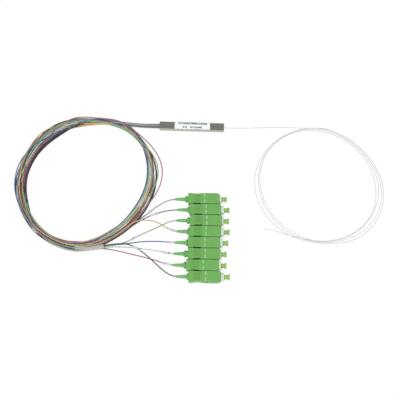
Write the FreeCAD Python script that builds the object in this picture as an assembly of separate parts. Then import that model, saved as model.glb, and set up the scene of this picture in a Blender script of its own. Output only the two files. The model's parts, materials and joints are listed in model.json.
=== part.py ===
"""1 x 8 fibre splitter in a mini steel tube, with eight push-pull angled plugs on 0.9 mm legs.

Millimetres. The origin is the centre of the steel tube's underside, +X runs along the tube towards the
input fibre, +Z is up, and everything lies on the plane z = 0.
"""
import FreeCAD, Part
import math
import os
from FreeCAD import Vector

os.makedirs("parts", exist_ok=True)

X_AXIS = Vector(1, 0, 0)
Z_AXIS = Vector(0, 0, 1)

# Steel tube and what is in it
TUBE_L = 55.0
TUBE_W = 7.0
TUBE_H = 4.0
TUBE_WALL = 0.4
TUBE_CORNER = 0.5
SEAL_L = 2.0
SEAL_RECESS = 0.3
SEAL_GAP = 0.02
CORD_START_GAP = 0.05
CHIP_L = 15.0
CHIP_W = 2.6
CHIP_H = 2.4
ARRAY_L = 8.0
POLISH_ANGLE = 8.0
LABEL_L = 30.0
LABEL_SHIFT = 0.5
LABEL_T = 0.1

# How far a cutting shape reaches past the faces that it opens
PAST = 1.0

# Fibre, legs and coils
LEG_D = 0.9
LEG_PITCH = 0.98
FIBRE_D = 0.3
ARC_SHARE = 0.45
COIL_LAYERS = 3
COIL_EDGE = 0.7
INPUT_COIL_H = 0.9
INPUT_COIL_EDGE = 0.25
TAPE_T = 0.15
TAPE_START = 266.0
TAPE_END = 289.5
SLEEVE_L = 7.5
SLEEVE_WALL = 0.2
SLEEVE_GAP = 0.05

# Grip, the outer housing of a plug. Plug lengths run forwards from the grip's rear end.
GRIP_L = 26.0
GRIP_W = 8.9
GRIP_H = 7.4
GRIP_EDGE = 0.7
GRIP_NOSE = 2.4
GRIP_STROKE = 2.0
HOLD_START = 3.9
HOLD_L = 6.2
HOLD_DEPTH = 0.55
PANEL_W = 5.8
PANEL_L = 6.0
PANEL_DEPTH = 0.25
RIB_COUNT = 5
RIB_W = 0.5
KEY_W = 2.2
KEY_H = 0.9
KEY_L = 9.5
KEY_START = 14.0
WINDOW_START = 13.5
WINDOW_H = 3.4

# Plug frame, the inner housing, and its rear stop
FRAME_W = 5.9
FRAME_H = 5.0
FRAME_START = 3.5
FRAME_PROUD = 2.05
FRAME_EDGE = 0.6
FRAME_GAP = 0.08
RAIL_L = 5.8
RAIL_PROUD = 1.15
RAIL_NOTCH = 1.8
RAIL_GAP = 0.1
NOSE_BORE_R = 2.2
NOSE_BORE_L = 7.3
WEB_T = 1.2
WEB_HOLE_R = 1.55
STOP_L = 5.0
STOP_GAP = 0.02
BARREL_R = 1.5
BARREL_L = 4.9
LEG_HOLE_R = 0.6

# Ferrule
FERRULE_R = 1.25
FERRULE_PROUD = 1.3
FERRULE_CHAMFER = 0.4
FLANGE_R = 2.08
FLANGE_GAP = 0.08
FLANGE_L = 3.5
FLANGE_SLOT = 0.8
FERRULE_TAIL_R = 1.0
FERRULE_TAIL_L = 4.8

# Boot
BOOT_L = 9.8
BOOT_TIP_R = 1.0
BOOT_NECK_R = 1.55
BOOT_NECK_L = 8.0
BOOT_FLARE_L = 1.0
BOOT_COLLAR_R = 2.85
BOOT_COLLAR_GAP = 0.1
BOOT_SEAT_R = 2.45
BOOT_LEG_GAP = 0.05
BOOT_BARREL_GAP = 0.1
LEG_IN_BOOT = 2.0

# Dust cap
CAP_GRIP_L = 7.0
CAP_GAP = 0.03
CAP_R = 1.85
CAP_WAIST_R = 1.65
CAP_RIM_R = 2.35
CAP_FLARE_L = 1.1
CAP_RIM_L = 0.8
CAP_END_WALL = 1.6
CAP_PROUD = 3.1

# What follows from those sizes
AXIS_Z = KEY_H + GRIP_H / 2
FRAME_FRONT = GRIP_L + FRAME_PROUD
WEB_FRONT = FRAME_FRONT - NOSE_BORE_L
WEB_BACK = WEB_FRONT - WEB_T
FERRULE_TIP = FRAME_FRONT + FERRULE_PROUD
SPRING_BORE_R = FLANGE_R + FLANGE_GAP
WINDOW_L = RAIL_L + GRIP_STROKE + 2 * RAIL_GAP
RAIL_START = WINDOW_START + GRIP_STROKE + RAIL_GAP
RAIL_H = WINDOW_H - 2 * RAIL_GAP
COIL_H = COIL_LAYERS * LEG_D + TAPE_T
TUBE_MOUTH = TUBE_L / 2 - SEAL_RECESS
CORD_START = TUBE_MOUTH + CORD_START_GAP

# Each plug: rear end of its frame's datum, turn about Z, and how far its grip is pushed forward
PLUGS = (
    {"at": (-1.45, -65.85), "turn": 1.5, "grip": 1.0},
    {"at": (0.95, -74.9), "turn": 1.1, "grip": 0.0},
    {"at": (0.65, -83.95), "turn": 0.6, "grip": 1.2},
    {"at": (1.25, -93.1), "turn": 0.6, "grip": 0.0},
    {"at": (0.35, -102.3), "turn": 0.8, "grip": 0.4},
    {"at": (-0.75, -111.45), "turn": 0.7, "grip": GRIP_STROKE},
    {"at": (-0.7, -120.65), "turn": 0.8, "grip": 0.8},
    {"at": (2.15, -129.75), "turn": 1.0, "grip": 0.0},
)
BOOT_RUN = 6.0

# Route of each leg from inside the coil to just before its boot, top plug first
TAILS = (
    ((-47.3, -89.0, 1.4), (-35.5, -79.9, 0.7), (-25.3, -71.1, 1.6)),
    ((-47.7, -90.8, 1.4), (-36.2, -82.1, 0.7), (-24.8, -77.1, 1.6)),
    ((-67.0, -103.3, 1.4), (-54.7, -103.5, 0.7), (-37.3, -96.4, 0.6), (-22.9, -88.6, 0.6)),
    ((-46.8, -92.1, 1.2), (-38.3, -85.4, 0.7), (-30.0, -83.1, 2.6), (-21.9, -86.9, 3.6)),
    ((-66.5, -104.9, 1.2), (-53.7, -104.8, 0.6), (-38.4, -101.7, 0.6), (-24.1, -101.1, 1.8)),
    ((-66.0, -107.6, 1.0), (-51.7, -107.6, 0.6), (-37.4, -108.1, 0.6), (-24.2, -109.6, 1.8)),
    ((-70.1, -108.3, 0.8), (-56.9, -110.3, 0.6), (-39.6, -113.4, 0.6), (-25.3, -117.1, 1.8)),
    (
        (-66.5, -106.2, 1.6),
        (-52.2, -105.7, 2.5),
        (-42.0, -107.1, 2.6),
        (-31.4, -114.0, 2.6),
        (-21.8, -122.5, 2.8),
    ),
)
# Length of leg left bare between its number sleeve and its boot
SLEEVE_BACK = (17.0, 13.5, 28.0, 0.8, 0.5, 1.5, 1.5, 32.0)

# Middle leg's route from the tube's mouth into the coil, as steps from its own place in the stack
LEAD_STEPS = ((0.0, 0.0), (-11.6, -0.5), (-25.6, 1.1), (-40.0, 2.8))
LEAD_ROWS = 4
LEAD_LAYERS = 2
INPUT_LEAD = ((40.9, 0.2, 1.1), (59.8, 1.9, 0.5), (79.7, 2.8, 0.45), (96.6, 2.4, 0.45))
INPUT_TAIL = ((86.1, -93.6, 0.4), (78.5, -91.1, 0.2), (70.3, -89.0, 0.2), (62.1, -87.1, 0.2))

# Coils: centre, then the middle line's radius and half the bundle's width every 30 degrees
OUTPUT_COIL = {
    "centre": (-86.0, -51.0),
    "radii": (54.5, 56.8, 57.2, 54.0, 53.7, 53.4, 54.2, 55.3, 56.4, 55.8, 51.9, 51.2),
    "spread": (5.0, 3.0, 2.9, 3.9, 6.1, 5.7, 4.8, 4.2, 2.9, 4.0, 4.6, 5.1),
}
INPUT_COIL = {
    "centre": (107.5, -47.0),
    "radii": (50.1, 47.6, 47.1, 48.8, 50.1, 51.1, 51.2, 50.4, 50.0, 50.0, 52.5, 52.7),
    "spread": (3.4, 2.3, 1.8, 1.9, 1.1, 1.2, 2.7, 2.8, 2.1, 1.2, 2.9, 3.4),
}


def corner(before, point, after):
    """The arc that rounds one point of a route: its start, middle, end and radius."""
    back = before - point
    on = after - point
    reach = ARC_SHARE * min(back.Length, on.Length)
    back.normalize()
    on.normalize()
    half_turn = (math.pi - back.getAngle(on)) / 2
    radius = reach / math.tan(half_turn)
    to_centre = (back + on).normalize()
    middle = point + to_centre * (radius / math.cos(half_turn) - radius)
    return point + back * reach, middle, point + on * reach, radius


def route_edges(points, closed=False):
    """Straight runs joined by tangent arcs, and the arcs' smallest radius."""
    points = [Vector(*p) for p in points]
    count = len(points)
    inner = range(count) if closed else range(1, count - 1)
    corners = [corner(points[i - 1], points[i], points[(i + 1) % count]) for i in inner]
    at = corners[-1][2] if closed else points[0]
    edges = []
    for start, middle, end, _ in corners:
        edges.append(Part.LineSegment(at, start).toShape())
        edges.append(Part.Arc(start, middle, end).toShape())
        at = end
    if not closed:
        edges.append(Part.LineSegment(at, points[-1]).toShape())
    return edges, min(c[3] for c in corners)


def swept(edges, radius):
    """A round bar along joined edges."""
    start = edges[0].Vertexes[0].Point
    along = edges[0].tangentAt(edges[0].FirstParameter)
    ring = Part.Wire(Part.makeCircle(radius, start, along))
    return Part.Wire(edges).makePipeShell([ring], True, False)


def cord(name, points, diameter):
    """One cord's tube. It prints the smallest bend, and the volume against section times length."""
    edges, bend = route_edges(points)
    tube = swept(edges, diameter / 2)
    length = sum(e.Length for e in edges)
    share = tube.Volume / (math.pi * diameter**2 / 4 * length)
    print(f"{name}: length {length:.1f}, smallest bend {bend:.1f}, volume share {share:.4f}")
    return tube


def stretch(edges, start, length):
    """The edges that cover one stretch of a route, from a length along it."""
    found = []
    done = 0.0
    for edge in edges:
        low = max(start - done, 0.0)
        high = min(start + length - done, edge.Length)
        if high - low > 1e-6:
            first = edge.getParameterByLength(low)
            last = edge.getParameterByLength(high)
            found.append(edge.Curve.toShape(first, last))
        done += edge.Length
    return found


def long_edges(solid, direction):
    """The straight edges that run along one direction."""
    chosen = []
    for edge in solid.Edges:
        if len(edge.Vertexes) == 2:
            run = edge.Vertexes[1].Point - edge.Vertexes[0].Point
            if run.cross(direction).Length < 1e-7 * run.Length:
                chosen.append(edge)
    return chosen


def bar(x0, x1, width, height, edge=0.0, z=0.0):
    """A bar along X from x0 to x1, centred on y = 0 at height z, with its long edges rounded."""
    box = Part.makeBox(x1 - x0, width, height, Vector(x0, -width / 2, z - height / 2))
    if edge:
        return box.makeFillet(edge, long_edges(box, X_AXIS))
    return box


def rod(x0, x1, radius):
    """A round bar on the X axis."""
    return Part.makeCylinder(radius, x1 - x0, Vector(x0, 0, 0), X_AXIS)


def turned(profile):
    """A solid turned about the X axis from (x, radius) points."""
    points = [Vector(x, r, 0) for x, r in profile]
    return Part.Face(Part.makePolygon(points + points[:1])).revolve(Vector(), X_AXIS, 360)


def set_in_place(shape, plug, forward=0.0):
    """Moves a shape from the plug's own axis to where the plug lies."""
    placed = shape.copy()
    placed.translate(Vector(forward, 0, AXIS_Z))
    placed.rotate(Vector(), Z_AXIS, plug["turn"])
    placed.translate(Vector(plug["at"][0], plug["at"][1], 0))
    return placed


def make_steel_tube():
    """The rectangular tube, open at both ends."""
    middle = TUBE_H / 2
    outside = bar(-TUBE_L / 2, TUBE_L / 2, TUBE_W, TUBE_H, TUBE_CORNER, middle)
    width = TUBE_W - 2 * TUBE_WALL
    height = TUBE_H - 2 * TUBE_WALL
    inside = bar(-TUBE_L, TUBE_L, width, height, TUBE_CORNER - TUBE_WALL, middle)
    return outside.cut(inside)


def make_end_seals():
    """Adhesive fillings just inside each mouth of the tube."""
    width = TUBE_W - 2 * (TUBE_WALL + SEAL_GAP)
    height = TUBE_H - 2 * (TUBE_WALL + SEAL_GAP)
    corner_radius = TUBE_CORNER - TUBE_WALL - SEAL_GAP
    right = bar(TUBE_MOUTH - SEAL_L, TUBE_MOUTH, width, height, corner_radius, TUBE_H / 2)
    left = bar(-TUBE_MOUTH, SEAL_L - TUBE_MOUTH, width, height, corner_radius, TUBE_H / 2)
    return Part.makeCompound([left, right])


def glass_block(low, high, low_lean, high_lean):
    """A block on the tube's floor. Each end may lean with height by the polishing angle."""
    lean = CHIP_H * math.tan(math.radians(POLISH_ANGLE))
    floor = TUBE_WALL
    top = floor + CHIP_H
    side = ((low, floor), (high, floor), (high + high_lean * lean, top), (low + low_lean * lean, top))
    points = [Vector(x, -CHIP_W / 2, z) for x, z in side]
    return Part.Face(Part.makePolygon(points + points[:1])).extrude(Vector(0, CHIP_W, 0))


def make_chip():
    """The planar waveguide chip. Both ends are polished at an angle."""
    return glass_block(-CHIP_L / 2, CHIP_L / 2, 1, 1)


def make_fibre_arrays():
    """The blocks that hold the fibres against the chip's two ends."""
    left = glass_block(-CHIP_L / 2 - ARRAY_L, -CHIP_L / 2, 0, 1)
    right = glass_block(CHIP_L / 2, CHIP_L / 2 + ARRAY_L, 1, 0)
    return Part.makeCompound([left, right])


def make_label():
    """The paper label on the tube's flat top."""
    width = TUBE_W - 2 * TUBE_CORNER
    start = LABEL_SHIFT - LABEL_L / 2
    return bar(start, start + LABEL_L, width, LABEL_T, 0.0, TUBE_H + LABEL_T / 2)


def coil_outline(coil, side, grow, z):
    """The coil's closed outline at height z, on its inner (-1) or outer (+1) side.

    The rounded outline touches the middles of its sides, so its points lie further out than the coil.
    """
    points = []
    count = len(coil["radii"])
    for i, (radius, spread) in enumerate(zip(coil["radii"], coil["spread"])):
        angle = math.radians(360 * i / count)
        reach = (radius + side * (spread + grow)) / math.cos(math.pi / count)
        x = coil["centre"][0] + reach * math.cos(angle)
        y = coil["centre"][1] + reach * math.sin(angle)
        points.append((x, y, z))
    return Part.Wire(route_edges(points, closed=True)[0])


def coil_ring(coil, bottom, top, edge, grow=0.0):
    """A coil as one closed ring with bevelled edges."""
    levels = ((bottom, grow - edge), (bottom + edge, grow), (top - edge, grow), (top, grow - edge))
    outside = Part.makeLoft([coil_outline(coil, 1, more, z) for z, more in levels], True, True)
    inside = Part.makeLoft([coil_outline(coil, -1, more, z) for z, more in levels], True, True)
    return outside.cut(inside)


def make_output_coil():
    """The eight legs' coil. It lies on its tape."""
    return coil_ring(OUTPUT_COIL, TAPE_T, COIL_H, COIL_EDGE)


def make_input_coil():
    """The input fibre's coil."""
    return coil_ring(INPUT_COIL, 0.0, INPUT_COIL_H, INPUT_COIL_EDGE)


def make_coil_tape():
    """The clear tape wrapped round the output coil's lower run."""
    wrap = coil_ring(OUTPUT_COIL, 0.0, COIL_H + TAPE_T, COIL_EDGE, TAPE_T)
    x, y = OUTPUT_COIL["centre"]
    reach = 2 * max(OUTPUT_COIL["radii"])
    ends = [math.radians(a) for a in (TAPE_START, TAPE_END)]
    points = [Vector(x, y, 0)] + [Vector(x + reach * math.cos(a), y + reach * math.sin(a), 0) for a in ends]
    wedge = Part.Face(Part.makePolygon(points + points[:1])).extrude(Vector(0, 0, 2 * COIL_H))
    return wrap.common(wedge).cut(make_output_coil())


def make_output_leads():
    """The eight legs from the tube's mouth to the coil, in a flat stack."""
    leads = []
    for layer in range(LEAD_LAYERS):
        z = TUBE_H / 2 + (layer - (LEAD_LAYERS - 1) / 2) * LEG_PITCH
        for row in range(LEAD_ROWS):
            y = (row - (LEAD_ROWS - 1) / 2) * LEG_PITCH
            points = [(dx - CORD_START, y + dy, z) for dx, dy in LEAD_STEPS]
            leads.append(cord(f"output lead {len(leads) + 1}", points, LEG_D))
    return Part.makeCompound(leads)


def make_input_runs():
    """The input fibre from the tube to its coil, and its cut tail beyond the coil."""
    lead = cord("input lead", ((CORD_START, 0.0, TUBE_H / 2),) + INPUT_LEAD, FIBRE_D)
    tail = cord("input tail", INPUT_TAIL, FIBRE_D)
    return Part.makeCompound([lead, tail])


def on_plug_axis(plug, x):
    """The point on a plug's axis at one distance from its datum."""
    turn = math.radians(plug["turn"])
    return (plug["at"][0] + x * math.cos(turn), plug["at"][1] + x * math.sin(turn), AXIS_Z)


def tail_points(number):
    """One leg's whole route from the coil to inside its boot."""
    plug = PLUGS[number]
    end = LEG_IN_BOOT - BOOT_L
    return TAILS[number] + (on_plug_axis(plug, end - BOOT_RUN), on_plug_axis(plug, end))


def make_tail(number):
    """One leg from the coil to its plug."""
    return cord(f"leg tail {number + 1}", tail_points(number), LEG_D)


def make_number_sleeves():
    """The short sleeves that number the legs. Each follows its leg's bend."""
    sleeves = []
    bore = LEG_D / 2 + SLEEVE_GAP
    for number, back in enumerate(SLEEVE_BACK):
        edges = route_edges(tail_points(number))[0]
        start = sum(e.Length for e in edges) - LEG_IN_BOOT - back - SLEEVE_L
        part = stretch(edges, start, SLEEVE_L)
        sleeves.append(swept(part, bore + SLEEVE_WALL).cut(swept(part, bore)))
    return Part.makeCompound(sleeves)


def hold_panel(side):
    """The recess with ribs on the grip's top (+1) or underside (-1)."""
    end = HOLD_START + HOLD_L
    start = end - PANEL_L
    face = side * GRIP_H / 2
    recess = bar(start, end, PANEL_W, 2 * PANEL_DEPTH, 0.0, face)
    pitch = PANEL_L / (RIB_COUNT + 1)
    ribs = []
    for i in range(RIB_COUNT):
        x = start + (i + 1) * pitch
        ribs.append(bar(x - RIB_W / 2, x + RIB_W / 2, PANEL_W, 2 * PANEL_DEPTH, 0.0, face))
    return recess.cut(Part.makeCompound(ribs))


def make_grip():
    """The outer housing: finger holds, ribbed panels, latch windows and the key on its underside."""
    body = bar(0.0, GRIP_L, GRIP_W, GRIP_H, GRIP_EDGE)
    nose = [e for e in long_edges(body, Z_AXIS) if e.BoundBox.XMin > GRIP_L - 1e-6]
    body = body.makeFillet(GRIP_NOSE, nose)
    cavity = bar(-PAST, GRIP_L + PAST, FRAME_W + 2 * FRAME_GAP, FRAME_H + 2 * FRAME_GAP)
    cuts = [cavity, hold_panel(1), hold_panel(-1)]
    window = bar(WINDOW_START, WINDOW_START + WINDOW_L, 2 * GRIP_W, WINDOW_H)
    cuts.append(window)
    for side in (-1, 1):
        hold = Part.makeBox(HOLD_L, 2 * HOLD_DEPTH, GRIP_H + 2 * PAST)
        hold.translate(Vector(HOLD_START, side * GRIP_W / 2 - HOLD_DEPTH, -GRIP_H / 2 - PAST))
        hold = hold.makeFillet(HOLD_DEPTH * 0.9, long_edges(hold, Z_AXIS))
        cuts.append(hold)
    key = bar(KEY_START, KEY_START + KEY_L, KEY_W, 2 * KEY_H, 0.0, -GRIP_H / 2)
    return body.fuse(key).cut(Part.makeCompound(cuts[:1])).cut(cuts[1:]).removeSplitter()


def make_plug_frame():
    """The inner housing with its latch rails, stepped bore and rear stop."""
    body = bar(FRAME_START, FRAME_FRONT, FRAME_W, FRAME_H)
    body = body.makeChamfer(FRAME_EDGE, long_edges(body, X_AXIS))
    rail_width = FRAME_W + 2 * RAIL_PROUD
    rail = bar(RAIL_START, RAIL_START + RAIL_L, rail_width, RAIL_H)
    notch_start = RAIL_START + (RAIL_L - RAIL_NOTCH) / 2
    notch = bar(notch_start, notch_start + RAIL_NOTCH, rail_width + PAST, RAIL_H + PAST)
    body = body.fuse(rail.cut(notch))
    body = body.cut(rod(WEB_FRONT, FRAME_FRONT + PAST, NOSE_BORE_R))
    body = body.cut(rod(WEB_BACK, WEB_FRONT, WEB_HOLE_R))
    body = body.cut(rod(FRAME_START - PAST, WEB_BACK, SPRING_BORE_R))
    stop = rod(FRAME_START, FRAME_START + STOP_L, SPRING_BORE_R - STOP_GAP)
    stop = stop.fuse(rod(FRAME_START - BARREL_L, FRAME_START, BARREL_R))
    stop = stop.cut(rod(FRAME_START - BARREL_L - PAST, FRAME_START + STOP_L + PAST, LEG_HOLE_R))
    return Part.makeCompound([body.removeSplitter(), stop.removeSplitter()])


def make_ferrule():
    """The ceramic pin in its slotted flange, with a chamfered tip ground at an angle."""
    flange_back = WEB_BACK - FLANGE_L
    profile = (
        (flange_back - FERRULE_TAIL_L, 0.0),
        (flange_back - FERRULE_TAIL_L, FERRULE_TAIL_R),
        (flange_back, FERRULE_TAIL_R),
        (flange_back, FLANGE_R),
        (WEB_BACK, FLANGE_R),
        (WEB_BACK, FERRULE_R),
        (FERRULE_TIP - FERRULE_CHAMFER, FERRULE_R),
        (FERRULE_TIP + FERRULE_CHAMFER, FERRULE_R - FERRULE_CHAMFER),
        (FERRULE_TIP + FERRULE_CHAMFER, 0.0),
    )
    pin = turned(profile)
    slot_depth = FLANGE_R - FERRULE_R
    for side in (-1, 1):
        middle = side * FLANGE_R
        slot = bar(flange_back - PAST, WEB_BACK - FLANGE_L / 3, FLANGE_SLOT, slot_depth / 2, 0.0, middle)
        pin = pin.cut(slot)
    reach = 2 * FLANGE_R
    ground = Part.makeBox(FLANGE_L, 2 * reach, 2 * reach, Vector(FERRULE_TIP, -reach, -reach))
    ground.rotate(Vector(FERRULE_TIP, 0, 0), Vector(0, 1, 0), POLISH_ANGLE)
    return pin.cut(ground)


def make_boot():
    """The tapered boot. Its collar stands just behind the grip, and its seat reaches in to the frame."""
    neck_end = BOOT_NECK_L - BOOT_L
    flare_end = neck_end + BOOT_FLARE_L
    profile = (
        (-BOOT_L, LEG_D / 2 + BOOT_LEG_GAP),
        (-BOOT_L, BOOT_TIP_R),
        (neck_end, BOOT_NECK_R),
        (flare_end, BOOT_COLLAR_R),
        (-BOOT_COLLAR_GAP, BOOT_COLLAR_R),
        (-BOOT_COLLAR_GAP, BOOT_SEAT_R),
        (FRAME_START, BOOT_SEAT_R),
        (FRAME_START, BARREL_R + BOOT_BARREL_GAP),
        (FRAME_START - BARREL_L, BARREL_R + BOOT_BARREL_GAP),
        (FRAME_START - BARREL_L, LEG_D / 2 + BOOT_LEG_GAP),
    )
    return turned(profile)


def make_dust_cap():
    """The soft cap on the ferrule, a closed sleeve with a waist and a flared pull rim."""
    back = FERRULE_TIP - CAP_GRIP_L
    front = FERRULE_TIP + CAP_PROUD
    rim = front - CAP_RIM_L
    bore = FERRULE_R + CAP_GAP
    profile = (
        (back, bore),
        (back, CAP_R),
        (FERRULE_TIP, CAP_R),
        (rim - CAP_FLARE_L, CAP_WAIST_R),
        (rim, CAP_RIM_R),
        (front, CAP_RIM_R),
        (front, 0.0),
        (front - CAP_END_WALL, 0.0),
        (front - CAP_END_WALL, bore),
    )
    return turned(profile)


def export(name, shape):
    """Writes one node, after a look at its solids."""
    solids = shape.Solids
    if not solids or not shape.isValid() or min(s.Volume for s in solids) <= 0:
        raise ValueError(f"{name} is not a sound solid")
    shape.exportStep(f"parts/{name}.step")


def main():
    """Builds and writes every node."""
    export("steel_tube", make_steel_tube())
    export("end_seals", make_end_seals())
    export("splitter_chip", make_chip())
    export("fibre_arrays", make_fibre_arrays())
    export("label", make_label())
    export("input_runs", make_input_runs())
    export("input_coil", make_input_coil())
    export("output_leads", make_output_leads())
    export("output_coil", make_output_coil())
    export("coil_tape", make_coil_tape())
    export("number_sleeves", make_number_sleeves())
    pieces = {
        "grip": make_grip(),
        "plug_frame": make_plug_frame(),
        "ferrule": make_ferrule(),
        "boot": make_boot(),
        "dust_cap": make_dust_cap(),
    }
    for number, plug in enumerate(PLUGS):
        export(f"leg_tail_{number + 1}", make_tail(number))
        for name, piece in pieces.items():
            forward = plug["grip"] if name == "grip" else 0.0
            export(f"{name}_{number + 1}", set_in_place(piece, plug, forward))


main()
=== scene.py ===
"""Dresses the fibre splitter: its cords, finishes, printing, lights and camera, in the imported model's frame."""
import json
import logging
import math
from dataclasses import dataclass, field
from enum import Enum
from typing import Callable, Sequence

import bmesh
import bpy
from mathutils import Matrix, Vector


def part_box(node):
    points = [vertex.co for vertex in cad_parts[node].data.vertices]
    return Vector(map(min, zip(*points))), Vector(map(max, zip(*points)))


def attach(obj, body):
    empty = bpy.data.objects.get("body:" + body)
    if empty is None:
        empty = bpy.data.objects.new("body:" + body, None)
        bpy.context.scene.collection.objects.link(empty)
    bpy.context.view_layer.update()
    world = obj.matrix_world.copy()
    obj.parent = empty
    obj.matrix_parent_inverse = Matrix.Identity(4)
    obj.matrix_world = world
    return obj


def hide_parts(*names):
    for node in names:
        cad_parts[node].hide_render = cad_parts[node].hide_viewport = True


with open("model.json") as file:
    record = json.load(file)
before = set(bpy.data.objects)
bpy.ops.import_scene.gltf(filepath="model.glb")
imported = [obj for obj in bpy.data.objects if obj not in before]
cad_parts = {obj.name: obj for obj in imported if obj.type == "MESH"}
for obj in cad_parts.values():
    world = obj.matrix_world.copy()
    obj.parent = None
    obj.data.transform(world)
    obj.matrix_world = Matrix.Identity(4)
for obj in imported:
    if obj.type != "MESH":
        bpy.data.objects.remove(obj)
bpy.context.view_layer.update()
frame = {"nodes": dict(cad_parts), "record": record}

log = logging.getLogger("fibre_splitter")
logging.basicConfig(level=logging.INFO, format="%(name)s: %(message)s")

MM = 0.001
Point = tuple[float, float, float]
Colour = tuple[float, float, float]

# Sizes that the solids share, in millimetres
TUBE_MOUTH = 27.25
TUBE_MIDDLE = 2.0
LEG_D = 0.9
LEG_PITCH = 0.98
FIBRE_D = 0.3
# From the front of a plug's frame back along its axis
BOOT_TIP_BACK = 37.85
LEG_END_BACK = 35.85
BOOT_RUN = 6.0
GRIP_TOP = 8.3

# How thick printing is, and how far it stands off the surface below it
PRINT_DEPTH = 0.02
PRINT_GAP = 0.005

ROOT = "splitter"
PLUG_COUNT = 8
COIL_STEP = 15.0

# What every moulded, coated or printed surface shares
IOR = 1.46
SCATTER = (0.001, 0.001, 0.0006)
ROUGHNESS_SWING = 0.08
GRAIN_SPREAD = (0.3, 0.7)
# A figure's height as a share of the font's size
FIGURE_SHARE = 0.7


class Jacket(Enum):
    """The legs' colours, in the plugs' order from the tube, with the letters that the lay of the coil uses."""

    SLATE = "S"
    BROWN = "N"
    GREEN = "G"
    ORANGE = "O"
    BLUE = "B"
    WHITE = "W"
    RED = "R"
    BLACK = "K"


class Texture(Enum):
    """How a finish's fine relief runs: even, or drawn out along the piece."""

    EVEN = (1.0, 1.0, 1.0)
    BRUSHED = (0.04, 1.0, 1.0)


def around(values: Sequence[float], angle: float) -> float:
    """A smooth value between evenly spaced ones round a circle (Catmull-Rom).

    Args:
        values: one value for each even step of the circle.
        angle: degrees.
    Returns:
        The value at that angle.
    """
    place = (angle / 360.0 * len(values)) % len(values)
    i = int(place)
    t = place - i
    p0, p1, p2, p3 = (values[(i + k) % len(values)] for k in (-1, 0, 1, 2))
    return p1 + 0.5 * t * (p2 - p0 + t * (2 * p0 - 5 * p1 + 4 * p2 - p3 + t * (3 * (p1 - p2) + p3 - p0)))


def eased(value: float) -> float:
    """A smooth step from 0 to 1."""
    t = min(max(value, 0.0), 1.0)
    return t * t * (3 - 2 * t)


# ---------------------------------------------------------------------------------------------- finishes


def mottle_group() -> bpy.types.NodeTree:
    """The shared texture: a colour that wanders over patches, a roughness mask, and a fine relief.

    Returns:
        A node group with outputs Colour, Mask and Normal.
    """
    found = bpy.data.node_groups.get("mottle")
    if found:
        return found
    tree = bpy.data.node_groups.new("mottle", "ShaderNodeTree")
    face = tree.interface
    for name, kind in (("Colour", "NodeSocketColor"), ("Variation", "NodeSocketFloat"),
                       ("Patch scale", "NodeSocketFloat"), ("Grain scale", "NodeSocketFloat"),
                       ("Relief", "NodeSocketFloat"), ("Stretch", "NodeSocketVector")):
        face.new_socket(name, in_out="INPUT", socket_type=kind)
    for name, kind in (("Colour", "NodeSocketColor"), ("Mask", "NodeSocketFloat"),
                       ("Normal", "NodeSocketVector")):
        face.new_socket(name, in_out="OUTPUT", socket_type=kind)
    nodes, links = tree.nodes, tree.links
    given = nodes.new("NodeGroupInput")
    out = nodes.new("NodeGroupOutput")
    place = nodes.new("ShaderNodeTexCoord")
    stretched = nodes.new("ShaderNodeVectorMath")
    stretched.operation = "MULTIPLY"
    links.new(place.outputs["Object"], stretched.inputs[0])
    links.new(given.outputs["Stretch"], stretched.inputs[1])
    patches = nodes.new("ShaderNodeTexNoise")
    patches.inputs["Detail"].default_value = 3.0
    links.new(stretched.outputs[0], patches.inputs["Vector"])
    links.new(given.outputs["Patch scale"], patches.inputs["Scale"])
    grain = nodes.new("ShaderNodeTexNoise")
    grain.inputs["Detail"].default_value = 4.0
    links.new(stretched.outputs[0], grain.inputs["Vector"])
    links.new(given.outputs["Grain scale"], grain.inputs["Scale"])
    centred = nodes.new("ShaderNodeMath")
    centred.operation = "MULTIPLY_ADD"
    centred.inputs[1].default_value = 2.0
    centred.inputs[2].default_value = -1.0
    links.new(patches.outputs["Fac"], centred.inputs[0])
    amount = nodes.new("ShaderNodeMath")
    amount.operation = "MULTIPLY_ADD"
    amount.inputs[2].default_value = 1.0
    links.new(centred.outputs[0], amount.inputs[0])
    links.new(given.outputs["Variation"], amount.inputs[1])
    tinted = nodes.new("ShaderNodeVectorMath")
    tinted.operation = "SCALE"
    links.new(given.outputs["Colour"], tinted.inputs[0])
    links.new(amount.outputs[0], tinted.inputs["Scale"])
    bump = nodes.new("ShaderNodeBump")
    bump.inputs["Strength"].default_value = 1.0
    links.new(grain.outputs["Fac"], bump.inputs["Height"])
    links.new(given.outputs["Relief"], bump.inputs["Distance"])
    links.new(tinted.outputs[0], out.inputs["Colour"])
    links.new(grain.outputs["Fac"], out.inputs["Mask"])
    links.new(bump.outputs["Normal"], out.inputs["Normal"])
    return tree


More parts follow.
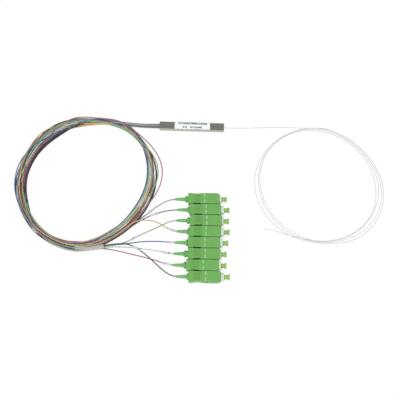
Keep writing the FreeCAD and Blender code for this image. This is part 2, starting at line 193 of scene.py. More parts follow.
@dataclass(frozen=True)
class Finish:
    """A surface finish: its colour, how it varies, and the relief of its fine texture.

    `variation` is the share by which the colour wanders, over patches of `patch` metres. `relief` is the
    height in metres of a grain of `grain` metres, which also makes the roughness swing a little.
    """

    name: str
    colour: Colour
    roughness: float = 0.45
    metallic: float = 0.0
    variation: float = 0.08
    patch: float = 0.004
    grain: float = 0.0004
    relief: float = 0.000004
    transmission: float = 0.0
    alpha: float = 1.0
    subsurface: float = 0.0
    texture: Texture = Texture.EVEN

    def material(self) -> bpy.types.Material:
        """The procedural material, made once for each name."""
        found = bpy.data.materials.get(self.name)
        if found:
            return found
        material = bpy.data.materials.new(self.name)
        material.use_nodes = True
        nodes, links = material.node_tree.nodes, material.node_tree.links
        shader = nodes["Principled BSDF"]
        shader.inputs["Metallic"].default_value = self.metallic
        shader.inputs["IOR"].default_value = IOR
        shader.inputs["Transmission Weight"].default_value = self.transmission
        shader.inputs["Alpha"].default_value = self.alpha
        shader.inputs["Subsurface Weight"].default_value = self.subsurface
        shader.inputs["Subsurface Radius"].default_value = SCATTER
        mottle = nodes.new("ShaderNodeGroup")
        mottle.node_tree = mottle_group()
        mottle.inputs["Colour"].default_value = (*self.colour, 1.0)
        mottle.inputs["Variation"].default_value = self.variation
        mottle.inputs["Patch scale"].default_value = 1.0 / self.patch
        mottle.inputs["Grain scale"].default_value = 1.0 / self.grain
        mottle.inputs["Relief"].default_value = self.relief
        mottle.inputs["Stretch"].default_value = self.texture.value
        rough = nodes.new("ShaderNodeMapRange")
        rough.inputs["From Min"].default_value, rough.inputs["From Max"].default_value = GRAIN_SPREAD
        rough.inputs["To Min"].default_value = max(self.roughness - ROUGHNESS_SWING, 0.02)
        rough.inputs["To Max"].default_value = min(self.roughness + ROUGHNESS_SWING, 1.0)
        links.new(mottle.outputs["Mask"], rough.inputs["Value"])
        links.new(mottle.outputs["Colour"], shader.inputs["Base Color"])
        links.new(mottle.outputs["Normal"], shader.inputs["Normal"])
        links.new(rough.outputs["Result"], shader.inputs["Roughness"])
        if self.alpha < 1.0 or self.transmission > 0.0:
            material.blend_method = "BLEND"
        return material

    def paint(self, piece: bpy.types.Object) -> bpy.types.Object:
        """Gives a whole piece this finish.

        Args:
            piece: a mesh or a curve.
        Returns:
            The same piece.
        """
        if piece.material_slots:
            for place in piece.material_slots:
                place.material = self.material()
        else:
            piece.data.materials.append(self.material())
        return piece


STEEL = Finish("satin_steel", (0.48, 0.475, 0.41), 0.30, metallic=1.0, variation=0.05, patch=0.006, grain=0.0009,
               texture=Texture.BRUSHED)
SEAL = Finish("seal_adhesive", (0.60, 0.60, 0.56), 0.5, subsurface=0.2)
GLASS = Finish("array_glass", (0.82, 0.88, 0.86), 0.08, transmission=0.8, variation=0.03)
PAPER = Finish("label_paper", (0.76, 0.79, 0.81), 0.62, variation=0.02, grain=0.00025)
INK = Finish("label_ink", (0.025, 0.025, 0.03), 0.55, variation=0.15, patch=0.0006)
COATING = Finish("fibre_coating", (0.31, 0.35, 0.31), 0.3, variation=0.05, subsurface=0.1)
FILM = Finish("tape_film", (0.62, 0.58, 0.56), 0.3, patch=0.003, grain=0.0015, relief=0.000006, alpha=0.45)
VINYL = Finish("sleeve_vinyl", (0.54, 0.56, 0.58), 0.38, alpha=0.92, subsurface=0.1)
GRIP = Finish("grip_plastic", (0.130, 0.35, 0.083), 0.36, variation=0.05, patch=0.003, subsurface=0.05)
BOOT = Finish("boot_rubber", (0.128, 0.375, 0.104), 0.48, variation=0.06, grain=0.0005)
MILKY = Finish("plug_frame_plastic", (0.52, 0.62, 0.51), 0.3, variation=0.04, subsurface=0.3)
CERAMIC = Finish("ferrule_ceramic", (0.86, 0.86, 0.82), 0.12, variation=0.02, relief=0.000001)
CAP = Finish("dust_cap_rubber", (0.24, 0.44, 0.10), 0.35, variation=0.10, patch=0.002, subsurface=0.25)
MARK = Finish("mark_print", (0.25, 0.49, 0.285), 0.5, variation=0.05)
# Each plug's solids, named piece_number
PLUG_FINISHES = {"boot": BOOT, "plug_frame": MILKY, "grip": GRIP, "ferrule": CERAMIC, "dust_cap": CAP}
JACKETS = {
    Jacket.SLATE: Finish("jacket_slate", (0.20, 0.22, 0.23), 0.42, patch=0.006),
    Jacket.BROWN: Finish("jacket_brown", (0.13, 0.075, 0.05), 0.42, patch=0.006),
    Jacket.GREEN: Finish("jacket_green", (0.20, 0.37, 0.19), 0.42, patch=0.006),
    Jacket.ORANGE: Finish("jacket_orange", (0.51, 0.33, 0.135), 0.42, patch=0.006),
    Jacket.BLUE: Finish("jacket_blue", (0.06, 0.105, 0.22), 0.42, patch=0.006),
    Jacket.WHITE: Finish("jacket_white", (0.47, 0.51, 0.47), 0.42, variation=0.06, patch=0.006),
    Jacket.RED: Finish("jacket_red", (0.32, 0.10, 0.14), 0.42, patch=0.006),
    Jacket.BLACK: Finish("jacket_black", (0.032, 0.028, 0.026), 0.42, patch=0.006),
}


# ------------------------------------------------------------------------------------------- how to build


def mesh_piece(name: str, build: Callable[[bmesh.types.BMesh], None], smooth: bool = True) -> bpy.types.Object:
    """A mesh object at the origin, filled by one function.

    Args:
        name: the piece's name.
        build: adds the geometry, in metres.
        smooth: whether its faces are shaded smooth.
    Returns:
        The new object.
    """
    work = bmesh.new()
    build(work)
    bmesh.ops.recalc_face_normals(work, faces=work.faces)
    for face in work.faces:
        face.smooth = smooth
    mesh = bpy.data.meshes.new(name)
    work.to_mesh(mesh)
    work.free()
    piece = bpy.data.objects.new(name, mesh)
    bpy.context.scene.collection.objects.link(piece)
    return piece


def belongs(piece: bpy.types.Object, finish: Finish, body: str) -> bpy.types.Object:
    """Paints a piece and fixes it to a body.

    Args:
        piece: the new piece.
        finish: its surface.
        body: the body that it moves with.
    Returns:
        The same piece.
    """
    finish.paint(piece)
    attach(piece, body)
    log.info("made %s", piece.name)
    return piece


def frames_along(points: Sequence[Vector]) -> list[Matrix]:
    """A frame at each point of a line that lies nearly flat: x to the side, y up, z along the line."""
    found = []
    for i, point in enumerate(points):
        along = (points[min(i + 1, len(points) - 1)] - points[max(i - 1, 0)]).normalized()
        side = Vector((0, 0, 1)).cross(along).normalized()
        found.append(Matrix.Translation(point) @ Matrix((side, along.cross(side), along)).transposed().to_4x4())
    return found


def sweep(work: bmesh.types.BMesh, frames: Sequence[Matrix], radius: float, sides: int) -> None:
    """Draws a round wall along a line, from a circle that is extruded from frame to frame.

    Args:
        work: the mesh that takes the wall.
        frames: the line's frames, in metres.
        radius: the wall's radius in metres.
        sides: the circle's sides.
    """
    ring = bmesh.ops.create_circle(work, segments=sides, radius=radius, matrix=frames[0])["verts"]
    edges = list({edge for vert in ring for edge in vert.link_edges})
    for before, after in zip(frames, frames[1:]):
        drawn = bmesh.ops.extrude_edge_only(work, edges=edges)["geom"]
        verts = {item for item in drawn if isinstance(item, bmesh.types.BMVert)}
        edges = [item for item in drawn if isinstance(item, bmesh.types.BMEdge) and set(item.verts) <= verts]
        bmesh.ops.transform(work, matrix=after @ before.inverted(), verts=list(verts))


def cord_curve(name: str, points: Sequence[Point], diameter: float, finish: Finish) -> bpy.types.Object:
    """One cord as a smooth round curve.

    Args:
        name: the piece's name.
        points: control points in millimetres.
        diameter: in millimetres.
        finish: its jacket.
    Returns:
        The curve object, riding on the splitter.
    """
    curve = bpy.data.curves.new(name, "CURVE")
    curve.dimensions = "3D"
    spline = curve.splines.new("NURBS")
    spline.points.add(len(points) - 1)
    for place, point in zip(spline.points, points):
        place.co = (*(c * MM for c in point), 1.0)
        place.radius = diameter * MM / 2  # the curve's box grows by this, so it is the true radius
    spline.order_u = 3
    spline.use_endpoint_u = True
    spline.resolution_u = 6
    spline.use_smooth = True
    curve.bevel_depth = 1.0
    curve.bevel_resolution = 3
    curve.use_fill_caps = True
    piece = bpy.data.objects.new(name, curve)
    bpy.context.scene.collection.objects.link(piece)
    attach(piece, ROOT)
    return finish.paint(piece)


def line_of(cord: bpy.types.Object) -> list[Vector]:
    """The points of a cord's own smooth line, in metres."""
    plain = cord.data.copy()
    plain.bevel_depth = 0.0
    holder = bpy.data.objects.new("line", plain)
    mesh = bpy.data.meshes.new_from_object(holder)
    points = [v.co.copy() for v in mesh.vertices]
    bpy.data.meshes.remove(mesh)
    bpy.data.objects.remove(holder)
    bpy.data.curves.remove(plain)
    return points


def stretch_from_end(points: Sequence[Vector], back: float, length: float, count: int) -> list[Vector]:
    """Even points on one stretch of a line, measured from its end.

    Args:
        points: the line.
        back: metres from the line's end to the stretch.
        length: the stretch's length in metres.
        count: how many steps to make.
    Returns:
        Points from the near end of the stretch to its far end.
    """
    reverse = list(reversed(points))
    wanted = [back + length * i / count for i in range(count + 1)]
    found, done = [], 0.0
    for a, b in zip(reverse, reverse[1:]):
        run = (b - a).length
        while wanted and done + run >= wanted[0]:
            found.append(a.lerp(b, (wanted.pop(0) - done) / run))
        done += run
    return found


def figures(name: str, words: str, height: float, depth: float, width: float = 0.0,
            weight: float = 0.02) -> bpy.types.Object:
    """Plain figures as a thin mesh, centred on the origin.

    Args:
        name: the piece's name.
        words: the figures.
        height: their height in metres.
        depth: the ink's thickness in metres.
        width: the whole line's width in metres, or 0 to leave it.
        weight: how much bolder than plain the strokes are, as a share of the height.
    Returns:
        The mesh piece, flat on z = 0.
    """
    curve = bpy.data.curves.new(name, "FONT")
    curve.body = words
    curve.size = height / FIGURE_SHARE
    curve.extrude = depth / 2
    curve.offset = height * weight
    curve.align_x = "CENTER"
    curve.align_y = "CENTER"
    curve.resolution_u = 3
    holder = bpy.data.objects.new(f"{name}_text", curve)
    mesh = bpy.data.meshes.new_from_object(holder)
    bpy.data.objects.remove(holder)
    bpy.data.curves.remove(curve)
    mesh.name = name
    mesh.materials.clear()
    if width:
        span = max(v.co.x for v in mesh.vertices) - min(v.co.x for v in mesh.vertices)
        mesh.transform(Matrix.Diagonal((width / span, 1.0, 1.0, 1.0)))
    piece = bpy.data.objects.new(name, mesh)
    bpy.context.scene.collection.objects.link(piece)
    return piece


def lay_flat(piece: bpy.types.Object, place: Vector, across: Vector, up: Vector) -> None:
    """Moves a flat piece's mesh so that its y runs along `across` and its z along `up`.

    Args:
        piece: a mesh piece at the origin.
        place: where its origin goes, in metres.
        across: where its y axis points.
        up: where its z axis points.
    """
    y = across.normalized()
    z = up.normalized()
    turn = Matrix((y.cross(z), y, z)).transposed().to_4x4()
    piece.data.transform(Matrix.Translation(place) @ turn)


# ------------------------------------------------------------------------------------------------- cords


@dataclass(frozen=True)
class Coil:
    """A coil's middle line and half its width, every 30 degrees round its centre, in millimetres."""

    centre: tuple[float, float]
    radii: tuple[float, ...]
    spread: tuple[float, ...]

    def at(self, angle: float, lane: float, z: float) -> Point:
        """One control point of a turn.

        Args:
            angle: degrees round the centre.
            lane: -1 on the coil's inner edge, 1 on its outer edge.
            z: height in millimetres.
        Returns:
            The point in millimetres.
        """
        reach = around(self.radii, angle) + lane * around(self.spread, angle)
        reach /= math.cos(math.radians(COIL_STEP / 2))
        turn = math.radians(angle)
        return (self.centre[0] + reach * math.cos(turn), self.centre[1] + reach * math.sin(turn), z)

    def lane_of(self, point: Point) -> float:
        """How far out a point lies in the bundle: -1 on its inner edge, 1 on its outer edge."""
        x, y = point[0] - self.centre[0], point[1] - self.centre[1]
        angle = math.degrees(math.atan2(y, x))
        return (math.hypot(x, y) - around(self.radii, angle)) / around(self.spread, angle)


@dataclass
class InputFibre:
    """The bare input fibre: its lead from the tube, its loose turns and its cut tail."""

    centre: tuple[float, float] = (107.5, -47.0)
    # How far each turn runs from the centre, every 30 degrees, clockwise from the coil's top
    reaches: tuple[tuple[float, ...], ...] = (
        (50.6, 48.9, 49.6, 53.3, 55.8, 54.9, 50.8, 51.8, 52.8, 53.5, 52.0, 50.7),
        (50.0, 47.8, 48.4, 51.6, 53.8, 52.4, 50.4, 50.0, 49.6, 50.2, 51.0, 50.1),
        (48.8, 46.7, 47.0, 49.5, 50.2, 50.6, 49.9, 48.2, 48.0, 49.0, 50.1, 49.5),
        (47.4, 45.5, 45.6, 47.0, 49.6, 49.8, 49.3, 50.0, 50.0, 50.0, 50.0, 50.0),
    )
    lead: tuple[Point, ...] = ((40.9, 0.2, 1.1), (59.8, 1.9, 0.5), (79.7, 2.8, 0.45), (96.6, 2.4, 0.45))
    tail: tuple[Point, ...] = ((86.1, -93.6, 0.4), (78.5, -91.1, 0.2), (70.3, -89.0, 0.2), (62.1, -87.1, 0.2))
    top: float = 90.0
    first: float = 84.0
    last: float = -96.0 - 3 * 360.0
    # Each turn rests this much higher than the one before it, and every fourth is down on the floor again
    climb: float = 0.2
    climb_turns: float = 3.0
    clearance: float = 0.02
    length: float = 1.2

    def turns(self) -> list[Point]:
        """The turns' control points. Each turn differs in size, so that the loops fan out."""
        reaches = [reach for turn in self.reaches for reach in turn]
        steps = round((self.first - self.last) / COIL_STEP)
        points = []
        for i in range(steps + 1):
            angle = self.first - COIL_STEP * i
            gone = self.top - angle
            reach = around(reaches, gone / len(self.reaches)) / math.cos(math.radians(COIL_STEP / 2))
            turn = math.radians(angle)
            z = FIBRE_D / 2 + self.clearance + self.climb * (gone / 360.0 % self.climb_turns)
            points.append((self.centre[0] + reach * math.cos(turn), self.centre[1] + reach * math.sin(turn), z))
        return points

    def build(self) -> bpy.types.Object:
        start = (TUBE_MOUTH, 0.0, TUBE_MIDDLE)
        fibre = cord_curve("input_fibre", [start, *self.lead, *self.turns(), *self.tail], FIBRE_D, COATING)
        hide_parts("input_runs", "input_coil")
        log.info("made %s", fibre.name)
        return fibre


@dataclass(frozen=True)
class Leg:
    """One output leg: its jacket, its place in the tube's stack, its tail and its sleeve's place.

    `loose` is how far, in millimetres, the second turn strays outside the bundle on the tube's side.
    """

    jacket: Jacket
    row: int
    layer: int
    coil_end: float
    tail: tuple[Point, ...]
    sleeve_back: float
    loose: float = 0.0


@dataclass(frozen=True)
class NumberSleeve:
    """The short pale sleeve on a leg that holds its plain number. Its radii are `outer` and `inner`."""

    length: float = 7.5
    outer: float = 0.85
    inner: float = 0.47
    steps: int = 10
    sides: int = 14
    figure_height: float = 1.1
    figure_depth: float = 0.03
    # Where the figure stands along the sleeve, by turns on even and odd legs
    mark_steps: tuple[int, int] = (3, 7)

    def build(self, number: int, leg: Leg, line: Sequence[Vector]) -> bpy.types.Object:
        """Makes one sleeve with its figure.

        Args:
            number: the leg's number.
            leg: the leg that carries it.
            line: the leg's own line, in metres.
        Returns:
            The sleeve.
        """
        back = (BOOT_TIP_BACK - LEG_END_BACK + leg.sleeve_back) * MM
        frames = frames_along(stretch_from_end(line, back, self.length * MM, self.steps))

        def build(work: bmesh.types.BMesh) -> None:
            """The sleeve's outer and inner walls, joined at both ends."""
            sweep(work, frames, self.outer * MM, self.sides)
            sweep(work, frames, self.inner * MM, self.sides)
            rims = [edge for edge in work.edges if edge.is_boundary]
            for end in (frames[0].translation, frames[-1].translation):
                near = [e for e in rims if (e.verts[0].co - end).length < self.outer * MM * 1.5]
                bmesh.ops.bridge_loops(work, edges=near)

        sleeve = mesh_piece(f"sleeve_{number}", build)
        belongs(sleeve, VINYL, ROOT)
        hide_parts("number_sleeves")
        place = frames[self.mark_steps[number % 2]]
        side, up = place.col[0].to_3d(), place.col[1].to_3d()
        figure = figures(f"sleeve_number_{number}", str(number), self.figure_height * MM, self.figure_depth * MM,
                         weight=0.05)
        lay_flat(figure, place.translation + up * (self.outer - 0.01) * MM, -side, up)
        belongs(figure, INK, ROOT)
        return sleeve


@dataclass
class OutputLegs:
    """The eight legs: their leads from the tube, their coil, and their tails to the plugs.

    Lengths are in millimetres and places in the coil in degrees. A lane is a leg's place across the bundle.
    """

    legs: tuple[Leg, ...] = (
        Leg(Jacket.SLATE, 1, 1, 1020.0,
            ((-47.3, -89.0, 1.4), (-35.5, -79.9, 0.7), (-25.3, -71.1, 1.6)), 17.0),
        Leg(Jacket.BROWN, 1, 0, 1020.0,
            ((-47.7, -90.8, 1.4), (-36.2, -82.1, 0.7), (-24.8, -77.1, 1.6)), 15.5),
        Leg(Jacket.GREEN, 2, 1, 990.0,
            ((-66.0, -106.4, 1.2), (-53.0, -104.4, 0.7), (-40.0, -97.0, 0.6), (-24.0, -88.8, 0.6)), 33.0, 1.8),
        Leg(Jacket.ORANGE, 0, 0, 1020.0,
            ((-49.0, -90.2, 3.4), (-42.0, -84.4, 2.8), (-30.5, -83.9, 2.8), (-21.9, -87.1, 3.6)), 0.8),
        Leg(Jacket.BLUE, 0, 1, 990.0,
            ((-66.5, -106.0, 1.2), (-53.7, -104.6, 0.6), (-38.4, -101.7, 0.6), (-24.1, -101.1, 1.8)), 0.5),
        Leg(Jacket.WHITE, 2, 0, 990.0,
            ((-66.0, -107.0, 1.0), (-51.7, -106.5, 0.6), (-37.4, -107.3, 0.6), (-24.2, -108.9, 1.8)), 1.5),
        Leg(Jacket.RED, 3, 1, 990.0,
            ((-70.1, -107.9, 0.8), (-56.9, -109.6, 0.6), (-39.6, -113.2, 0.6), (-25.3, -116.6, 1.8)), 1.5, 5.2),
        Leg(Jacket.BLACK, 3, 0, 990.0,
            ((-66.0, -105.7, 1.6), (-52.5, -103.8, 2.5), (-43.0, -105.7, 2.6), (-31.8, -113.1, 2.6),
             (-22.0, -122.1, 2.8)), 36.0),
    )
    coil: Coil = Coil(
        centre=(-86.0, -51.0),
        radii=(54.0, 56.5, 57.0, 54.0, 53.7, 53.4, 54.2, 55.3, 56.4, 55.8, 51.9, 51.2),
        spread=(4.8, 2.7, 2.8, 3.9, 6.1, 5.7, 4.8, 4.2, 2.9, 4.0, 4.6, 5.1),
    )
    # The jackets from the coil's inner edge to its outer edge, every 30 degrees
    lay: tuple[str, ...] = ("BGWONRSK", "BGSWONRK", "GSWKONRB", "OGSNKRBW", "KBOWGSNR", "KRBWGSNO",
                            "KRWGNOSB", "KGRNOSWB", "GRBONSWK", "ROBGNSWK", "OBWGNRSK", "BWGONRSK")
    # Each lead's steps from the tube's mouth: along, across, and how close together the rows run there
    lead_steps: tuple[Point, ...] = ((0.0, 0.0, 1.0), (-11.6, -0.6, 0.9), (-25.6, 0.6, 0.7), (-40.0, 2.3, 0.62))
    start: float = 90.0
    turn_changes: tuple[float, ...] = (450.0, 800.0)
    change_span: float = 130.0
    # A turn's shift across the bundle, in lanes, at each angle of the route
    shift_at: tuple[float, ...] = (90.0, 280.0, 330.0, 430.0, 480.0, 640.0, 700.0, 800.0, 860.0, 1200.0)
    shifts: tuple[float, ...] = (-0.33, -0.33, -0.25, -0.25, 0.0, 0.0, 0.25, 0.25, 0.33, 0.33)
    wander: float = 0.10
    # A leg turns towards its tail over the last `leave_span` degrees, and keeps `leave_share` of the tail's lane
    leave_span: float = 80.0
    leave_share: float = 0.9
    # The lowest turn's underside, one layer's rise in diameters, and how much alternate legs differ in height
    floor: float = 0.35
    layer_rise: float = 0.85
    stagger: float = 0.2
    # A bundle narrower than `full_spread` stands higher, by `most_pile` at the most
    full_spread: float = 4.6
    most_pile: float = 1.5
    loose_at: float = 13.0
    loose_after: float = 60.0
    loose_spans: tuple[float, float] = (37.0, 48.0)
    middle_lane: float = 3.5
    lanes_across: float = 4.2
    layer_turn: float = 8.0
    clearance: float = 0.02
    length: float = 1.0
    sleeve: NumberSleeve = NumberSleeve()

    def shift(self, angle: float) -> float:
        """How many lanes a turn is moved across the bundle, so that each turn fills the last one's gaps."""
        for low, high, before, after in zip(self.shift_at, self.shift_at[1:], self.shifts, self.shifts[1:]):
            if angle <= high:
                return before + (after - before) * eased((angle - low) / (high - low))
        return self.shifts[-1]

    def coil_point(self, leg: Leg, number: int, angle: float) -> Point:
        """One control point of a leg's turns.

        Between turns the leg climbs a layer and moves over by part of a lane, and the lay of the bundle
        changes all the way round. Where the bundle is narrow it stands higher.

        Args:
            leg: the leg.
            number: its number.
            angle: degrees round the coil since its first turn began.
        Returns:
            The point in millimetres.
        """
        layer = sum(eased((angle - change) / self.change_span + 0.5) for change in self.turn_changes)
        lanes = [row.index(leg.jacket.value) for row in self.lay]
        wander = self.wander * math.sin(math.radians(2 * angle) + 1.7 * number + 2.0 * layer)
        lane = around(lanes, angle + self.layer_turn * layer) - self.middle_lane
        lane = (lane + self.shift(angle) + wander) / self.lanes_across
        place = (angle - self.loose_at + 180.0) % 360.0 - 180.0
        place /= self.loose_spans[0] if place > 0 else -self.loose_spans[1]
        if leg.loose and self.turn_changes[0] + self.loose_after < angle < self.turn_changes[1]:
            spread = around(self.coil.spread, angle)
            lane += (leg.loose / spread + 1.0 - lane) * (1.0 - eased(place))
        target = self.leave_share * self.coil.lane_of(leg.tail[0])
        lane += (target - lane) * eased((angle - leg.coil_end + self.leave_span) / self.leave_span)
        pile = min(max(self.full_spread / around(self.coil.spread, angle), 1.0), self.most_pile)
        step = self.stagger * math.copysign(1.0, number % 2 - 0.5)
        z = self.floor + LEG_D / 2 + pile * (self.layer_rise * LEG_D * layer + step)
        return self.coil.at(angle, lane, max(z, LEG_D / 2 + self.clearance))

    def points(self, leg: Leg, number: int) -> list[Point]:
        """A leg's whole route, from the tube's mouth to inside its boot."""
        x, y, z = self.exit(leg)
        points = [(x + dx, y * close + dy, z) for dx, dy, close in self.lead_steps]
        steps = round((leg.coil_end - self.start) / COIL_STEP)
        points += [self.coil_point(leg, number, self.start + COIL_STEP * i) for i in range(steps + 1)]
        points += leg.tail
        return points + [on_plug_axis(number, LEG_END_BACK + BOOT_RUN), on_plug_axis(number, LEG_END_BACK)]

    def exit(self, leg: Leg) -> Point:
        """Where a leg leaves the tube's mouth, in millimetres."""
        return (-TUBE_MOUTH, (leg.row - 1.5) * LEG_PITCH, TUBE_MIDDLE + (leg.layer - 0.5) * LEG_PITCH)

    def build(self) -> None:
        for number, leg in enumerate(self.legs, 1):
            name = leg.jacket.name.lower()
            cord = cord_curve(f"leg_{name}", self.points(leg, number), LEG_D, JACKETS[leg.jacket])
            sleeve = self.sleeve.build(number, leg, line_of(cord))
            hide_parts(f"leg_tail_{number}", "output_leads", "output_coil")
            log.info("made %s", cord.name)


@dataclass
class CoilTape:
    """The clear tape round the outer part of the coil's lower run, where the tails leave, slightly wrinkled.

    `reaches` is how far its middle line lies from the coil's centre at its two ends.
    """

    coil: Coil
    start: float = 266.0
    end: float = 289.0
    reaches: tuple[float, float] = (58.0, 58.7)
    half_width: float = 1.75
    steps: int = 30
    sides: int = 48
    height: float = 1.62
    wall: float = 0.06
    # How square the wrap is across and upwards: 1 is an ellipse, and 0 is a box
    squareness: tuple[float, float] = (0.55, 0.7)
    creases: tuple[float, float] = (0.012, 0.008)

    def build(self) -> bpy.types.Object:
        """Sweeps the wrap's two walls round the bundle, then squares and creases them."""
        line = []
        for i in range(self.steps + 1):
            share = i / self.steps
            turn = math.radians(self.start + (self.end - self.start) * share)
            reach = (self.reaches[0] + (self.reaches[1] - self.reaches[0]) * share) * MM
            cx, cy = (c * MM for c in self.coil.centre)
            line.append(Vector((cx + reach * math.cos(turn), cy + reach * math.sin(turn), self.height * MM)))
        frames = frames_along(line)

        def build(work: bmesh.types.BMesh) -> None:
            """The film's two creased walls, joined at both ends."""
            for inset in (0.0, self.wall * MM):
                first = len(work.verts)
                sweep(work, frames, 1.0 * MM, self.sides)
                work.verts.ensure_lookup_table()
                for index, vert in enumerate(work.verts[first:]):
                    i = index // self.sides
                    local = frames[i].inverted() @ vert.co
                    a = math.atan2(local.y, local.x)
                    long, short = self.creases
                    crease = 1.0 + long * math.sin(3.1 * i + 5 * a) + short * math.sin(1.3 * i - 9 * a)
                    across, upwards = self.squareness
                    wide = abs(math.cos(a)) ** across * math.copysign(self.half_width * MM - inset, math.cos(a))
                    tall = abs(math.sin(a)) ** upwards * math.copysign(self.height * MM - inset, math.sin(a))
                    vert.co = frames[i] @ Vector((wide * crease, tall * min(crease, 1.0), 0.0))
            rims = [edge for edge in work.edges if edge.is_boundary]
            for end in (frames[0], frames[-1]):
                near = [edge for edge in rims if abs((end.inverted() @ edge.verts[0].co).z) < 0.01 * MM]
                bmesh.ops.bridge_loops(work, edges=near)

        tape = mesh_piece("coil_tape_film", build)
        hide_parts("coil_tape")
        return belongs(tape, FILM, ROOT)


# ------------------------------------------------------------------------------------- the solids' finishes


def plug_mount(number: int) -> tuple[Vector, Vector]:
    """The front of a plug's frame and the plug's direction, from the record."""
    mount = next(m for m in frame["record"]["mounts"] if m["name"] == f"plug_{number}")
    return Vector(mount["pos_m"]), Vector(mount["axis"])


def on_plug_axis(number: int, back: float) -> Point:
    """A point on a plug's axis, some millimetres behind the front of its frame, in millimetres."""
    front, along = plug_mount(number)
    return tuple((front / MM - along * back)[:])


@dataclass
class SplitterTube:
    """The steel tube with its seals, chip, fibre arrays and printed label."""

    finishes: dict[str, Finish] = field(default_factory=lambda: {
        "steel_tube": STEEL, "end_seals": SEAL, "splitter_chip": GLASS, "fibre_arrays": GLASS, "label": PAPER})
    # Each printed group: its figures, and its middle, width and height as shares of the label
    print_groups: tuple[tuple[str, float, float, float, float], ...] = (
        ("01234567890123456", 0.01, 0.345, 0.82, 0.26),
        ("012", -0.21, -0.22, 0.13, 0.26),
        ("012345", 0.105, -0.22, 0.34, 0.26),
    )
    print_weight: float = 0.06

    def build(self) -> None:
        """Paints the solids and prints the label."""
        for name, finish in self.finishes.items():
            finish.paint(frame["nodes"][name])
            log.info("painted %s", name)
        low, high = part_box("label")
        middle = (low + high) / 2
        long, deep = high.x - low.x, high.y - low.y
        for i, (words, x, y, width, height) in enumerate(self.print_groups):
            ink = figures(f"label_figures_{i + 1}", words, deep * height, PRINT_DEPTH * MM, long * width,
                          self.print_weight)
            place = Vector((middle.x + long * x, middle.y + deep * y, high.z + PRINT_GAP * MM))
            lay_flat(ink, place, Vector((0, 1, 0)), Vector((0, 0, 1)))
            belongs(ink, INK, ROOT)


@dataclass
class Plug:
    """One push-pull plug: its solids' finishes and the two pale insertion dashes across its grip.

    `mark_place` runs forwards from the grip's rear end, and `mark_side` from its middle line, in millimetres.
    """

    number: int
    mark_place: float = 13.6
    grip_length: float = 26.0
    mark_side: float = 2.45
    mark_length: float = 2.9
    mark_width: float = 0.95
    mark_corner: float = 0.22

    def build(self) -> None:
        """Paints the plug's solids and prints its dashes."""
        for piece, finish in PLUG_FINISHES.items():
            finish.paint(frame["nodes"][f"{piece}_{self.number}"])
            log.info("painted %s_%d", piece, self.number)
        self.print_dashes()

    def print_dashes(self) -> bpy.types.Object:
        """The two dashes, as thin rounded patches of ink."""
        low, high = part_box(f"grip_{self.number}")
        _, along = plug_mount(self.number)
        side = Vector((0, 0, 1)).cross(along)
        middle = (low + high) / 2 + along * (self.mark_place - self.grip_length / 2) * MM
        middle.z = (GRIP_TOP + PRINT_GAP) * MM

        def build(work: bmesh.types.BMesh) -> None:
            """Both dashes, with their corners rounded."""
            for sign in (-1, 1):
                centre = middle + side * sign * self.mark_side * MM
                turn = Matrix((along, side, Vector((0, 0, 1)))).transposed().to_4x4()
                place = Matrix.Translation(centre) @ turn
                shape = Matrix.Diagonal((self.mark_width * MM, self.mark_length * MM, 1.0, 1.0))
                bmesh.ops.create_grid(work, x_segments=1, y_segments=1, size=0.5, matrix=place @ shape)
            bmesh.ops.bevel(work, geom=list(work.verts), offset=self.mark_corner * MM, segments=3, profile=0.5,
                            affect="VERTICES", material=-1)
            bmesh.ops.solidify(work, geom=list(work.faces), thickness=PRINT_DEPTH * MM)

        mark = mesh_piece(f"insertion_mark_{self.number}", build, smooth=False)
        return belongs(mark, MARK, f"grip_{self.number}")


# ----------------------------------------------------------------------------------------------- the stage


@dataclass(frozen=True)
class Camera:
    """Where the picture is taken from, in millimetres and degrees."""

    target: Point = (9.12, -64.64, 0.0)
    distance: float = 508.8
    elevation: float = 72.5
    turn: float = 1.84
    angle: float = 36.0

    def make(self) -> bpy.types.Object:
        """Adds the camera and makes it the scene's own."""
        up = math.radians(self.elevation)
        round_z = Matrix.Rotation(math.radians(self.turn), 3, "Z")
        back = round_z @ Vector((0, -math.cos(up), math.sin(up)))
        data = bpy.data.cameras.new("camera")
        data.angle = math.radians(self.angle)
        data.clip_start = 0.01
        data.clip_end = 20.0
        camera = bpy.data.objects.new("camera", data)
        camera.location = (Vector(self.target) + back * self.distance) * MM
        camera.rotation_euler = (round_z @ Matrix.Rotation(math.pi / 2 - up, 3, "X")).to_euler()
        bpy.context.scene.collection.objects.link(camera)
        bpy.context.scene.camera = camera
        return camera


@dataclass(frozen=True)
class Lamp:
    """One soft area light, in metres."""

    name: str
    place: Point
    aim: Point
    size: float
    power: float

    def make(self) -> None:
        """Adds the light."""
        data = bpy.data.lights.new(self.name, "AREA")
        data.shape = "DISK"
        data.size = self.size
        data.energy = self.power
        lamp = bpy.data.objects.new(self.name, data)
        lamp.location = self.place
        aim = Vector(self.aim) - Vector(self.place)
        lamp.rotation_euler = aim.to_track_quat("-Z", "Y").to_euler()
        bpy.context.scene.collection.objects.link(lamp)


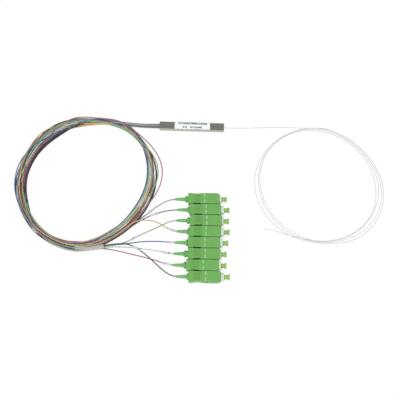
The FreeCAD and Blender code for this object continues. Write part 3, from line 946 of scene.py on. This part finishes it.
@dataclass
class Studio:
    """The floor, the world and the lamps.

    `card` and `sky` are how light the floor and the world are, and `ceiling` is the world overhead in
    reflections. `shadow` is the share of the floor's own shade that shows, and all of it shows in gaps
    narrower than about `crevice` metres.
    """

    lamps: tuple[Lamp, ...] = (
        Lamp("key", (-0.45, -0.55, 1.0), (0.0, -0.06, 0.0), 0.8, 9.0),
        Lamp("fill", (0.8, 0.1, 0.9), (0.0, -0.06, 0.0), 0.9, 4.0),
    )
    card: float = 0.85
    sky: float = 0.62
    ceiling: float = 0.30
    shadow: float = 0.045
    crevice: float = 0.008
    crevice_open: tuple[float, float] = (0.12, 0.38)
    ceiling_heights: tuple[float, float] = (0.5, 0.9)
    floor_half: float = 2.0
    floor_drop: float = 0.0001

    def build(self) -> None:
        """Makes the floor, the world and the lamps."""
        self.make_floor()
        self.make_world()
        for lamp in self.lamps:
            lamp.make()

    def make_floor(self) -> None:
        """A plain pale floor that reads as white to the camera and takes light as pale card."""
        def build(work: bmesh.types.BMesh) -> None:
            """A flat sheet just below the object."""
            bmesh.ops.create_grid(work, x_segments=4, y_segments=4, size=self.floor_half)
            bmesh.ops.translate(work, verts=work.verts, vec=(0, 0, -self.floor_drop))

        floor = mesh_piece("floor", build, smooth=False)
        material = bpy.data.materials.new("pale_floor")
        material.use_nodes = True
        nodes, links = material.node_tree.nodes, material.node_tree.links
        card = nodes["Principled BSDF"]
        card.inputs["Base Color"].default_value = (self.card, self.card, self.card, 1.0)
        card.inputs["Roughness"].default_value = 0.9
        white = nodes.new("ShaderNodeEmission")
        white.inputs["Color"].default_value = (1.0, 1.0, 1.0, 1.0)
        path = nodes.new("ShaderNodeLightPath")
        seen = nodes.new("ShaderNodeMath")
        seen.operation = "MAXIMUM"
        links.new(path.outputs["Is Camera Ray"], seen.inputs[0])
        links.new(path.outputs["Is Transmission Ray"], seen.inputs[1])
        shown = nodes.new("ShaderNodeMath")
        shown.operation = "MAXIMUM"
        links.new(seen.outputs[0], shown.inputs[0])
        links.new(path.outputs["Is Glossy Ray"], shown.inputs[1])
        covered = nodes.new("ShaderNodeAmbientOcclusion")
        covered.samples = 8
        covered.inputs["Distance"].default_value = self.crevice
        lit = nodes.new("ShaderNodeMapRange")
        lit.inputs["From Min"].default_value, lit.inputs["From Max"].default_value = self.crevice_open
        lit.inputs["To Min"].default_value = 0.0
        lit.inputs["To Max"].default_value = 1.0 - self.shadow
        links.new(covered.outputs["AO"], lit.inputs["Value"])
        share = nodes.new("ShaderNodeMath")
        share.operation = "MULTIPLY"
        links.new(shown.outputs[0], share.inputs[0])
        links.new(lit.outputs["Result"], share.inputs[1])
        mix = nodes.new("ShaderNodeMixShader")
        links.new(share.outputs[0], mix.inputs["Fac"])
        links.new(card.outputs[0], mix.inputs[1])
        links.new(white.outputs[0], mix.inputs[2])
        links.new(mix.outputs[0], nodes["Material Output"].inputs["Surface"])
        floor.data.materials.append(material)

    def make_world(self) -> None:
        """Soft light from all round, white where the camera sees it, with a darker ceiling in reflections."""
        world = bpy.data.worlds.new("studio")
        world.use_nodes = True
        nodes, links = world.node_tree.nodes, world.node_tree.links
        soft = nodes["Background"]
        soft.inputs["Color"].default_value = (self.sky, self.sky, self.sky, 1.0)
        soft.inputs["Strength"].default_value = 1.0
        white = nodes.new("ShaderNodeBackground")
        white.inputs["Color"].default_value = (1.0, 1.0, 1.0, 1.0)
        path = nodes.new("ShaderNodeLightPath")
        mix = nodes.new("ShaderNodeMixShader")
        links.new(path.outputs["Is Camera Ray"], mix.inputs["Fac"])
        place = nodes.new("ShaderNodeTexCoord")
        split = nodes.new("ShaderNodeSeparateXYZ")
        links.new(place.outputs["Generated"], split.inputs[0])
        height = nodes.new("ShaderNodeMapRange")
        height.inputs["From Min"].default_value, height.inputs["From Max"].default_value = self.ceiling_heights
        height.inputs["To Min"].default_value = self.sky
        height.inputs["To Max"].default_value = self.ceiling
        links.new(split.outputs["Z"], height.inputs["Value"])
        room = nodes.new("ShaderNodeBackground")
        links.new(height.outputs["Result"], room.inputs["Color"])
        mirrored = nodes.new("ShaderNodeMixShader")
        links.new(path.outputs["Is Glossy Ray"], mirrored.inputs["Fac"])
        links.new(soft.outputs[0], mirrored.inputs[1])
        links.new(room.outputs[0], mirrored.inputs[2])
        links.new(mirrored.outputs[0], mix.inputs[1])
        links.new(white.outputs[0], mix.inputs[2])
        links.new(mix.outputs[0], nodes["World Output"].inputs["Surface"])
        bpy.context.scene.world = world
        bpy.context.scene.view_settings.view_transform = "Standard"


def main() -> None:
    """Builds the scene: the camera and cords first, then the solids' finishes, the print and the stage."""
    Camera().make()
    InputFibre().build()
    outputs = OutputLegs()
    outputs.build()
    SplitterTube().build()
    for number in range(1, PLUG_COUNT + 1):
        Plug(number).build()
    CoilTape(outputs.coil).build()
    Studio().build()


if __name__ == "__main__":
    main()
